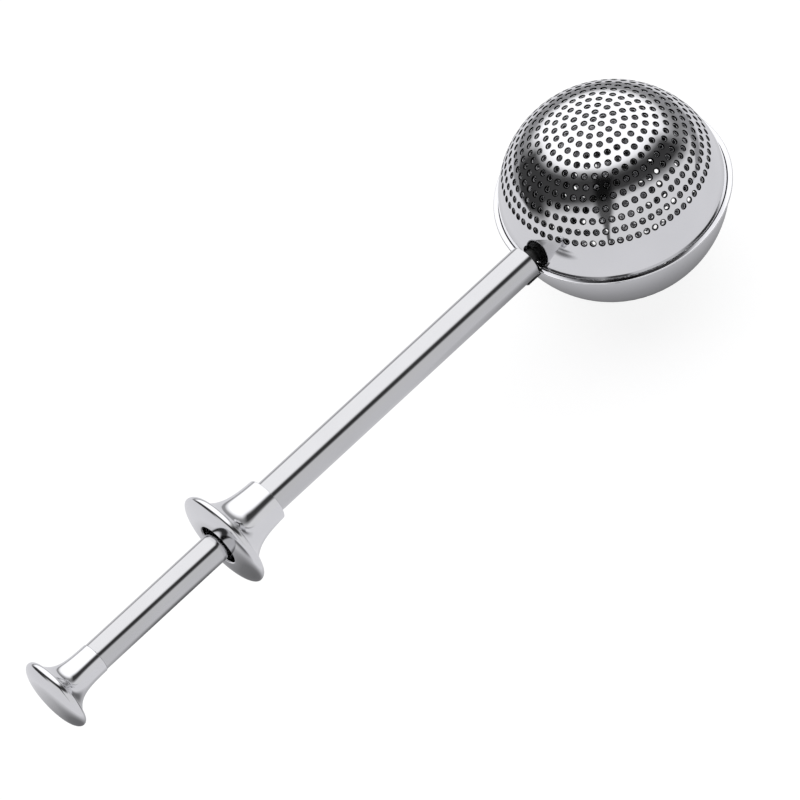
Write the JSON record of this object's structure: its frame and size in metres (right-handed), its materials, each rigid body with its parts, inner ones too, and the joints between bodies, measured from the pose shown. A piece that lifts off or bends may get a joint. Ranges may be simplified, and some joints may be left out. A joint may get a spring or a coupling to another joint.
{
  "type": "tea infuser",
  "caption": "Push-handle tea infuser: pressing the thumb button turns a perforated dome half a turn into the bowl, opening the ball as a scoop.",
  "frame": {"origin": "below the middle of the object's length, on the level of the bowl's lowest point", "axes": "+X along the handle from the thumb button to the ball, +Z from the bowl to the dome, +Y to the left of +X"},
  "size_m": [0.179, 0.0486, 0.0433],
  "materials": {
    "polished_tube": "mirror-polished stainless steel with faint drawing lines along the length",
    "polished_turning": "mirror-polished turned stainless steel",
    "polished_shell": "polished pressed stainless steel sheet",
    "spring_wire": "drawn stainless spring wire",
    "black_plastic": "black food-grade bearing plastic, satin",
    "brazed_steel": "dark brazed and heat-stained steel",
    "turned_steel": "fine-turned stainless steel",
    "pressed_strip": "pressed stainless strip with a satin surface"
  },
  "bodies": {
    "handle_and_bowl": {"outer_tube": "polished_tube", "finger_flange": "polished_turning", "guide_pin": "turned_steel", "tube_saddle": "brazed_steel", "bowl_shell": "polished_shell", "front_bush": "black_plastic", "return_spring": "spring_wire"},
    "plunger": {"plunger_tube": "polished_tube", "thumb_button": "polished_turning", "drive_nut": "turned_steel"},
    "rotor": {"dome_shell": "polished_shell", "spindle": "black_plastic", "drive_strip": "pressed_strip", "near_bracket": "pressed_strip", "far_bracket": "pressed_strip", "thrust_washer": "turned_steel", "retaining_ring": "black_plastic"}
  },
  "joints": [
    {"name": "plunger_push", "type": "slide", "parent": "handle_and_bowl", "child": "plunger", "axis": [1, 0, 0], "range_m": [0, 0.032], "stiffness_N_per_m": 60, "springref_m": -0.012, "deforming": ["return_spring"]},
    {"name": "dome_turn", "type": "hinge", "parent": "handle_and_bowl", "child": "rotor", "pos_m": [0.06515, 0, 0.02375], "axis": [1, 0, 0], "range_deg": [-1, 181]}
  ],
  "couplings": [
    {"joint": "dome_turn", "follows": "plunger_push", "rad_per_m": 98.175}
  ]
}
